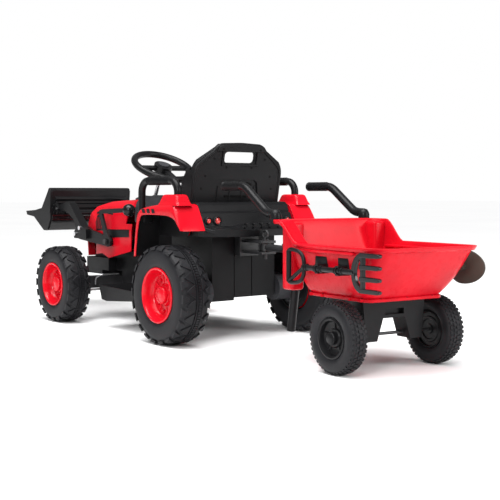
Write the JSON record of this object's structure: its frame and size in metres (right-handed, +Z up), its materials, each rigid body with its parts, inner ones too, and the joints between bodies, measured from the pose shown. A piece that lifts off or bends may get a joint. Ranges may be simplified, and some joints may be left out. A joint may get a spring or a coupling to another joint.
{
  "type": "ride-on tractor with loader and cart",
  "caption": "Child's battery ride-on farm tractor with a lever-worked front loader bucket, a steering wheel, and a towed two-wheel cart that carries a toy fork and shovel.",
  "frame": {"origin": "on the floor under the middle of the whole train, at the middle of its bounding box", "axes": "+X forward towards the bucket, +Y the driver's left, +Z up; the floor is z = 0"},
  "size_m": [1.918, 0.586, 0.5704],
  "materials": {
    "moulded_black": "fine satin",
    "moulded_grey": "satin",
    "moulded_red": "semi gloss",
    "moulded_brown": "satin",
    "painted_black": "satin",
    "zinc_steel": "satin",
    "tyre_black": "matte",
    "lamp_red": "gloss"
  },
  "bodies": {
    "tractor": {"chassis": "moulded_black", "battery": "moulded_grey", "gearboxes": "moulded_grey", "rear_axle": "zinc_steel", "axle_nuts": "zinc_steel", "seat": "moulded_black", "seat_back": "moulded_black", "rear_deck": "moulded_black", "rear_bumper": "moulded_black", "tail_lights": "lamp_red", "fender_left": "moulded_red", "fender_right": "moulded_red", "grab_rails": "moulded_black", "hood": "moulded_red", "grille": "moulded_red", "dash": "moulded_grey", "footrests": "moulded_black", "front_axle_beam": "painted_black", "kingpins": "zinc_steel", "tow_bracket": "painted_black", "tow_pin": "zinc_steel", "loader_pivots": "zinc_steel"},
    "steering": {"steering_shaft": "zinc_steel", "steering_wheel": "moulded_black"},
    "horn": {"horn_button": "moulded_grey"},
    "tie_rod": {"tie_rod": "zinc_steel"},
    "knuckle_left": {"knuckle_left": "zinc_steel"},
    "knuckle_right": {"knuckle_right": "zinc_steel"},
    "pedal": {"drive_pedal": "moulded_grey"},
    "rear_wheel_left": {"rear_tyre_left": "tyre_black", "rear_rim_left": "moulded_red", "rear_cap_left": "moulded_red"},
    "rear_wheel_right": {"rear_tyre_right": "tyre_black", "rear_rim_right": "moulded_red", "rear_cap_right": "moulded_red"},
    "front_wheel_left": {"front_tyre_left": "tyre_black", "front_rim_left": "moulded_red", "front_cap_left": "moulded_red"},
    "front_wheel_right": {"front_tyre_right": "tyre_black", "front_rim_right": "moulded_red", "front_cap_right": "moulded_red"},
    "loader": {"loader_frame": "moulded_black", "loader_lever": "moulded_black", "lever_knob": "moulded_black", "loader_bolts": "zinc_steel"},
    "bucket": {"bucket": "moulded_black"},
    "cart": {"tub": "moulded_red", "undercarriage": "painted_black", "drawbar": "painted_black", "stand_leg": "moulded_black", "cart_axle": "zinc_steel", "cart_handles": "moulded_black", "tool_clips": "moulded_black"},
    "cart_wheel_left": {"cart_tyre_left": "tyre_black", "cart_hub_left": "moulded_black"},
    "cart_wheel_right": {"cart_tyre_right": "tyre_black", "cart_hub_right": "moulded_black"},
    "fork": {"garden_fork": "moulded_black"},
    "shovel": {"shovel_shaft": "moulded_black", "shovel_blade": "moulded_brown"}
  },
  "joints": [
    {"name": "steering_turn", "type": "hinge", "parent": "tractor", "child": "steering", "pos_m": [0.268, 0, 0.509], "axis": [-0.454, 0, 0.891], "range_deg": [-45, 45]},
    {"name": "horn_press", "type": "slide", "parent": "steering", "child": "horn", "axis": [0.454, 0, -0.891], "range_m": [0, 0.0025], "stiffness_N_per_m": 800, "springref_m": -0.0005},
    {"name": "tie_rod_shift", "type": "slide", "parent": "tractor", "child": "tie_rod", "axis": [0, 1, 0], "range_m": [-0.017, 0.017]},
    {"name": "knuckle_left_turn", "type": "hinge", "parent": "tractor", "child": "knuckle_left", "pos_m": [0.502, 0.179, 0.125], "axis": [0, 0, 1], "range_deg": [-22.2, 22.2]},
    {"name": "knuckle_right_turn", "type": "hinge", "parent": "tractor", "child": "knuckle_right", "pos_m": [0.502, -0.179, 0.125], "axis": [0, 0, 1], "range_deg": [-22.2, 22.2]},
    {"name": "pedal_press", "type": "hinge", "parent": "tractor", "child": "pedal", "pos_m": [0.1825, -0.154, 0.119], "axis": [0, 1, 0], "range_deg": [0, 12], "stiffness_Nm_per_rad": 2, "springref_deg": -5.73},
    {"name": "rear_wheel_left_spin", "type": "hinge", "parent": "tractor", "child": "rear_wheel_left", "pos_m": [-0.146, 0.245, 0.14], "axis": [0, 1, 0], "continuous": true},
    {"name": "rear_wheel_right_spin", "type": "hinge", "parent": "tractor", "child": "rear_wheel_right", "pos_m": [-0.146, -0.245, 0.14], "axis": [0, 1, 0], "continuous": true},
    {"name": "front_wheel_left_spin", "type": "hinge", "parent": "knuckle_left", "child": "front_wheel_left", "pos_m": [0.502, 0.245, 0.125], "axis": [0, 1, 0], "continuous": true},
    {"name": "front_wheel_right_spin", "type": "hinge", "parent": "knuckle_right", "child": "front_wheel_right", "pos_m": [0.502, -0.245, 0.125], "axis": [0, 1, 0], "continuous": true},
    {"name": "loader_lift", "type": "hinge", "parent": "tractor", "child": "loader", "pos_m": [0.414, 0, 0.263], "axis": [0, -1, 0], "range_deg": [-6, 19]},
    {"name": "bucket_tilt", "type": "hinge", "parent": "loader", "child": "bucket", "pos_m": [0.747, 0, 0.368], "axis": [0, 1, 0], "range_deg": [-10, 35]},
    {"name": "cart_yaw", "type": "hinge", "parent": "tractor", "child": "cart", "pos_m": [-0.267, 0, 0.27], "axis": [0, 0, 1], "range_deg": [-30, 30]},
    {"name": "cart_wheel_left_spin", "type": "hinge", "parent": "cart", "child": "cart_wheel_left", "pos_m": [-0.78219, 0.19294, 0.087], "axis": [0.0802, 0.9968, 0], "continuous": true},
    {"name": "cart_wheel_right_spin", "type": "hinge", "parent": "cart", "child": "cart_wheel_right", "pos_m": [-0.80641, -0.10809, 0.087], "axis": [0.0802, 0.9968, 0], "continuous": true},
    {"name": "fork_lift_off", "type": "slide", "parent": "cart", "child": "fork", "axis": [0.0802, 0.9968, 0], "range_m": [0, 0.05]},
    {"name": "shovel_lift_off", "type": "slide", "parent": "cart", "child": "shovel", "axis": [-0.0802, -0.9968, 0], "range_m": [0, 0.05]}
  ],
  "couplings": [
    {"joint": "knuckle_left_turn", "follows": "steering_turn", "ratio": 0.49235},
    {"joint": "knuckle_right_turn", "follows": "steering_turn", "ratio": 0.49235},
    {"joint": "tie_rod_shift", "follows": "steering_turn", "m_per_rad": -0.021608}
  ]
}
